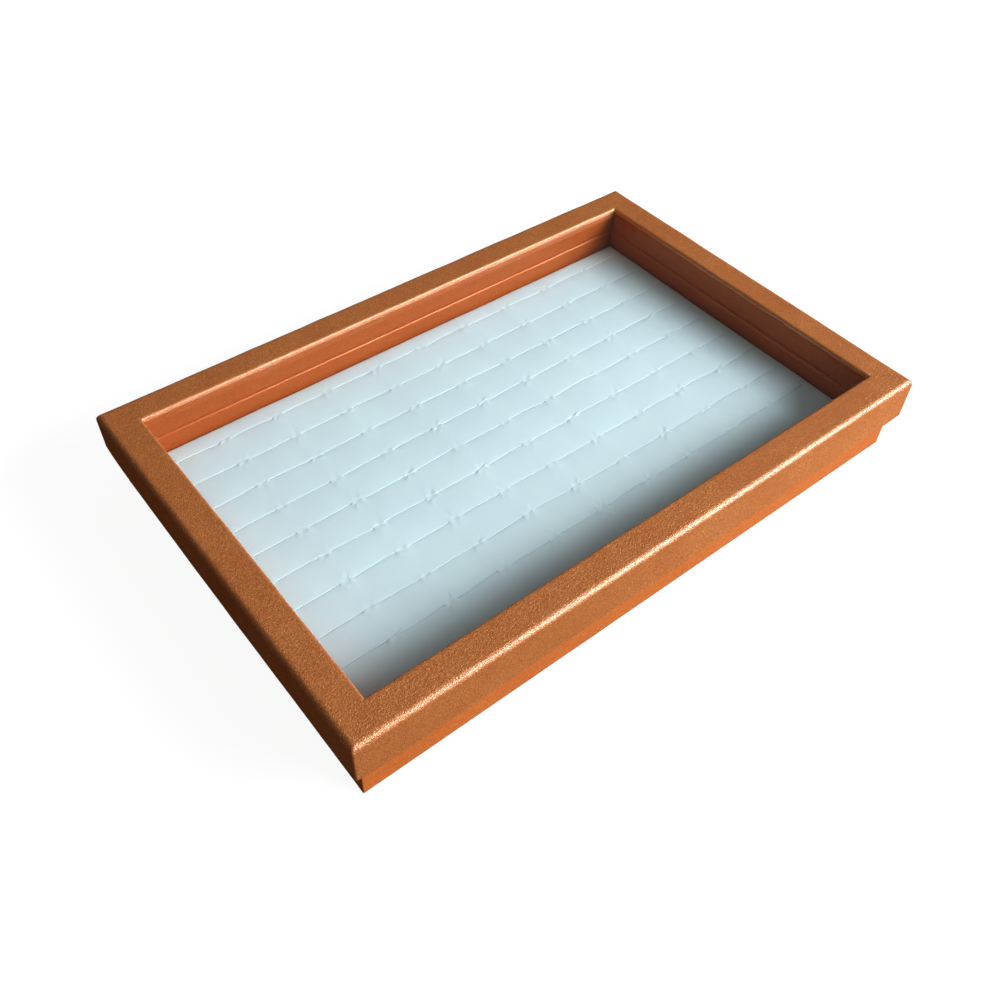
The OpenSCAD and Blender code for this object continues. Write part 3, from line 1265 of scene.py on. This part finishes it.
    def bands(
        self, x: np.ndarray, past_end: np.ndarray, behind: np.ndarray,
        bridged: np.ndarray, lift: np.ndarray,
    ) -> np.ndarray:
        """The soft bands between the rows: lips along the slots, saddles and dimples at the bridges.

        Args:
            x: X of each point, in millimetres.
            past_end: How far it lies past its slot's end, along the row.
            behind: How far it lies behind its row.
            bridged: Share from 0 on a slot to 1 on a bridge.
            lift: How strongly its slot is formed.

        Returns:
            What the bands add to the height.
        """
        rear, away = behind > 0, np.abs(behind)
        rear_lips = self.rear_roll * lift * np.exp(-away / self.rear_reach)
        lips = np.where(rear, rear_lips, self.front_roll * np.exp(-away / self.front_reach))
        saddle = self.saddle * np.exp(-((away / self.saddle_reach) ** 1.5))
        inside = smooth((self.half_length - np.abs(x)) / self.calm_end)
        added = -(lips * (1 - bridged) + saddle * bridged) * inside
        at_end = np.exp(-((past_end + self.puff_before_end) ** 2))
        added += self.puff * lift * at_end * rear * np.exp(-away / self.puff_reach)
        pit = np.hypot(self.bridge / 2 - past_end, behind * 0.8) / self.dimple_reach
        return added - self.dimple * bridged * np.exp(-(pit**2))

    def with_slots(
        self, z: np.ndarray, past_end: np.ndarray, away: np.ndarray, gap: np.ndarray
    ) -> np.ndarray:
        """Sinks the slots, with rounded lips, into the surface.

        Args:
            z: Height of each point, in millimetres.
            past_end: How far it lies past its slot's end, along the row.
            away: How far it lies from its row.
            gap: Half the width of its slot.

        Returns:
            The new heights.
        """
        cut = smooth((self.cut_past_end - past_end) / self.cut_fade)
        lip = np.clip(1 - (away - gap) / self.lip_round, 0, 1)
        rounded = z - cut * self.lip_drop * (1 - np.sqrt(np.clip(1 - lip**2, 0, 1)))
        sunk = np.clip(self.slot_flare * (1 - away / gap), 0, 1) * cut
        return rounded * (1 - sunk) + (self.sizes.pad_top - self.slot_depth) * sunk

    def puckers(self, x: np.ndarray, y: np.ndarray) -> np.ndarray:
        """Small folds that spread from each pinched bridge like a star.

        Args:
            x: X of each point, in millimetres.
            y: Y of each point, in millimetres.

        Returns:
            What the folds add to the height.
        """
        added = np.zeros_like(x)
        for row in range(self.rows):
            for column in range(self.columns - 1):
                centre_x = self.column_centre(column) + self.column_pitch / 2
                across = x - centre_x - self.random.normal(0, 0.3)
                along = y - self.row_centre(row) - self.random.normal(0, 0.3)
                far = np.hypot(across, along * 0.8)
                angle = np.arctan2(along, across)
                phases = self.random.uniform(0, 2 * math.pi, 3)
                size = self.random.uniform(0.6, 1.3)
                star = sum(np.cos(folds * angle + phase) for folds, phase in zip((3, 5, 7), phases))
                ring = np.exp(-(((far - self.pucker_radius) / self.pucker_reach) ** 2))
                added += np.where(far < self.pucker_limit, self.pucker * size * star * ring, 0)
        return added

    def build(self) -> None:
        """Makes the pad as one closed form: the velvet above, upright sides and a flat base."""
        x, y, z = self.surface()
        wide, deep = x.shape
        top = np.stack([x, y, z], axis=-1).reshape(-1, 3)
        i, j = np.meshgrid(np.arange(wide - 1), np.arange(deep - 1), indexing="ij")
        first = i * deep + j
        faces = np.stack([first, first + deep, first + deep + 1, first + 1], axis=-1).reshape(-1, 4)
        rim = np.concatenate([
            np.arange(wide) * deep,
            (wide - 1) * deep + np.arange(1, deep),
            np.arange(wide - 2, -1, -1) * deep + deep - 1,
            np.arange(deep - 2, 0, -1),
        ])
        base = top[rim].copy()
        base[:, 2] = self.sizes.pad_bottom
        low = len(top) + np.arange(len(rim))
        sides = np.stack([rim, low, np.roll(low, -1), np.roll(rim, -1)], axis=-1)
        everything = [*faces.tolist(), *sides.tolist(), low[::-1].tolist()]
        pad = add_object("ring_pad", np.concatenate([top, base]), everything, self.crease_deg)
        place(pad, Body.TRAY, "velvet", self.velvet, "pad_velvet", "pad_foam")


def place(
    piece: bpy.types.Object, body: Body, slot: str, material: bpy.types.Material, *nodes: str
) -> None:
    """Gives a new piece its material, its body and the nodes that it stands for.

    Args:
        piece: The new piece.
        body: The body that carries it.
        slot: Not used.
        material: Its finish.
        *nodes: The frame's nodes that it replaces.
    """
    piece.data.materials.append(material)
    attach(piece, body.value)
    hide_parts(*nodes)
    log.info("%s: %d faces, for %s", piece.name, len(piece.data.polygons), ", ".join(nodes))


def dress(node: str, material: bpy.types.Material) -> None:
    """Gives a node of the frame its finish.

    Args:
        node: The node's name.
        material: The finish.
    """
    piece = bpy.data.objects[node]
    piece.data.materials.clear()
    piece.data.materials.append(material)
    log.info("%s: dressed with %s", node, material.name)


@dataclass
class Studio:
    """A pale floor and world, one large soft lamp from the front right, and the camera."""

    camera_at: tuple[float, float, float] = (-252.5, -285.3, 393.6)
    heading_deg: float = 40.453
    pitch_deg: float = -48.173
    roll_deg: float = -2.462
    lens_mm: float = 36.33
    key_direction: tuple[float, float, float] = (0.58, -0.69, 0.5)
    key_distance: float = 2.2
    key_width: float = 1.8
    key_height: float = 0.9
    key_power: float = 104.0
    key_colour: Rgb = (0.96, 0.99, 1.0)
    zenith: Rgb = (0.175, 0.19, 0.185)
    horizon: Rgb = (0.33, 0.165, 0.11)
    zenith_from: float = 0.7
    white_below: float = 0.05
    mirrored: float = 0.35
    floor_size: float = 8.0
    floor_share: float = 0.14
    floor_fade: tuple[float, float] = (0.45, 1.1)
    floor_glow: float = 1.08
    floor_tones: tuple[Rgb, Rgb] = ((0.93, 0.93, 0.94), (0.96, 0.96, 0.96))
    floor_bounce: Rgb = (0.06, 0.058, 0.055)

    def build(self) -> None:
        """Makes the floor, the world, the lamp and the camera."""
        self.make_floor()
        self.make_world()
        direction = Vector(self.key_direction).normalized()
        self.make_lamp("key", direction * self.key_distance)
        self.make_camera()

    def make_lamp(self, name: str, at: Vector) -> None:
        """Adds a wide soft lamp, like a window, that faces the box.

        Args:
            name: The lamp's name.
            at: Its place, in metres.
        """
        data = bpy.data.lights.new(name, "AREA")
        data.shape = "RECTANGLE"
        data.size = self.key_width
        data.size_y = self.key_height
        data.energy = self.key_power
        data.color = self.key_colour
        lamp = bpy.data.objects.new(name, data)
        lamp.location = at
        lamp.rotation_mode = "QUATERNION"
        lamp.rotation_quaternion = (-at).to_track_quat("-Z", "Y")
        bpy.context.scene.collection.objects.link(lamp)

    def make_floor(self) -> None:
        """Adds the floor: white to the camera with the box's soft shadow, dark to the box."""
        half = self.floor_size / 2 / MM
        corners = np.array([(-half, -half, 0), (half, -half, 0), (half, half, 0), (-half, half, 0)])
        floor = add_object("floor", corners, [(0, 1, 2, 3)], CREASE_DEG)
        finish = bpy.data.materials.new("pale_floor")
        paint = Paint(finish)
        path = paint.node("ShaderNodeLightPath")
        seen = paint.calc("MAXIMUM", path.outputs["Is Camera Ray"], path.outputs["Is Transmission Ray"])
        away = paint.node("ShaderNodeVectorMath", operation="LENGTH")
        paint.feed(away.inputs[0], paint.coordinates)
        share = paint.span(away.outputs["Value"], *self.floor_fade, self.floor_share, 0.0)
        mottle = paint.between(paint.noise(900, detail=2), 0.3, 0.7, *self.floor_tones)
        glow = paint.light("ShaderNodeEmission", WHITE, self.floor_glow)
        pale = paint.mixed(share, glow, paint.dull(mottle))
        paint.output(paint.mixed(seen, paint.dull(self.floor_bounce), pale))
        floor.data.materials.append(finish)

    def make_world(self) -> None:
        """Makes the surroundings: white to the camera, a dim cool room to the box."""
        world = bpy.data.worlds.new("studio")
        bpy.context.scene.world = world
        paint = Paint(world)
        path = paint.node("ShaderNodeLightPath").outputs
        split = paint.node("ShaderNodeSeparateXYZ")
        paint.feed(split.inputs[0], paint.places["Generated"])
        height = split.outputs["Z"]
        low = paint.calc("LESS_THAN", height, self.white_below)
        camera, through = path["Is Camera Ray"], path["Is Transmission Ray"]
        seen = paint.calc("MULTIPLY_ADD", through, low, camera, clamp=True)
        sky = paint.between(height, 0.0, self.zenith_from, self.horizon, self.zenith)
        level = paint.span(path["Is Glossy Ray"], 0.0, 1.0, 1.0, self.mirrored)
        room = paint.light("ShaderNodeBackground", sky, level)
        white = paint.light("ShaderNodeBackground", WHITE, 1.0)
        paint.output(paint.mixed(seen, room, white), "ShaderNodeOutputWorld")

    def make_camera(self) -> None:
        """Adds the camera at the photograph's place and angle."""
        data = bpy.data.cameras.new("camera")
        data.lens = self.lens_mm
        data.sensor_width = 36.0
        data.sensor_fit = "HORIZONTAL"
        data.clip_start = 0.01
        data.clip_end = 20.0
        heading, pitch = math.radians(self.heading_deg), math.radians(self.pitch_deg)
        flat = math.cos(pitch)
        forward = Vector((math.sin(heading) * flat, math.cos(heading) * flat, math.sin(pitch)))
        level = forward.cross(Vector((0, 0, 1))).normalized()
        right = Quaternion(forward, math.radians(self.roll_deg)) @ level
        up = right.cross(forward)
        turn = Matrix((right, up, -forward)).transposed()
        camera = bpy.data.objects.new("camera", data)
        camera.matrix_world = Matrix.Translation(Vector(self.camera_at) * MM) @ turn.to_4x4()
        bpy.context.scene.collection.objects.link(camera)
        bpy.context.scene.camera = camera


@dataclass
class Finishes:
    """Every finish on the box."""

    # Each leatherette lists its tone, its painted shade colour and its painted glint colour.
    lid: Leatherette = field(default_factory=lambda: Leatherette(
        "lid_leatherette", (0.52, 0.15, 0.034), (0.4, 0.11, 0.024), (0.86, 0.38, 0.125),
        index=1.6, roughness=0.35, metal=0.24, coat=0.5, coat_roughness=0.3, coat_index=2.0,
        grain_mm=1.2, grain_depth_mm=0.12, pebble_mm=0.6, pebble_depth_mm=0.08, brushed_depth_mm=0.06,
    ))
    tray: Leatherette = field(default_factory=lambda: Leatherette(
        "tray_leatherette", (0.56, 0.135, 0.022), (0.46, 0.105, 0.017), (0.74, 0.24, 0.06),
        index=1.6, roughness=0.45, metal=0.15, coat=0.2, grain_mm=1.4, grain_depth_mm=0.02,
        pebble_mm=0.7, pebble_depth_mm=0.015,
    ))
    lining: Leatherette = field(default_factory=lambda: Leatherette(
        "lining_leatherette", (0.37, 0.078, 0.014), (0.32, 0.066, 0.011), (0.46, 0.115, 0.025),
        index=1.2, roughness=0.3, metal=0.12, coat=0.22, coat_roughness=0.16,
        grain_mm=1.6, grain_depth_mm=0.01, pebble_mm=0.9, pebble_depth_mm=0.004, sheen=(1.0, 0.8, 0.5),
    ))
    velvet: Velvet = field(default_factory=lambda: Velvet(
        "white_velvet", linear((207, 231, 238)), linear((205, 227, 236)),
    ))
    glass: PaneGlass = field(default_factory=lambda: PaneGlass("pane_glass"))
    board: Fibreboard = field(default_factory=lambda: Fibreboard(
        "fibreboard", linear((196, 160, 116)), linear((160, 122, 80)),
    ))
    card: Fibreboard = field(default_factory=lambda: Fibreboard(
        "grey_card", linear((150, 146, 138)), linear((118, 114, 106)), 0.4,
    ))
    steel: Steel = field(default_factory=lambda: Steel("nail_steel"))
    flock: Flock = field(default_factory=lambda: Flock("black_flock"))


def main() -> None:
    """Builds the box round the frame."""
    logging.basicConfig(level=logging.INFO, format="%(name)s: %(message)s")
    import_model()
    bpy.context.scene.view_settings.view_transform = "Standard"
    sizes = BoxSizes.from_frame()
    finishes = Finishes()
    board = finishes.board.material()
    steel = finishes.steel.material()
    lining = finishes.lining.material()
    Studio().build()
    Tray(
        sizes, finishes.tray.material(), lining, board, steel,
        finishes.flock.material(), finishes.card.material(),
    ).build()
    RingPad(sizes, finishes.velvet.material()).build()
    Lid(sizes, finishes.lid.material(), lining, finishes.glass.material(), board, steel).build()


if __name__ == "__main__":
    main()
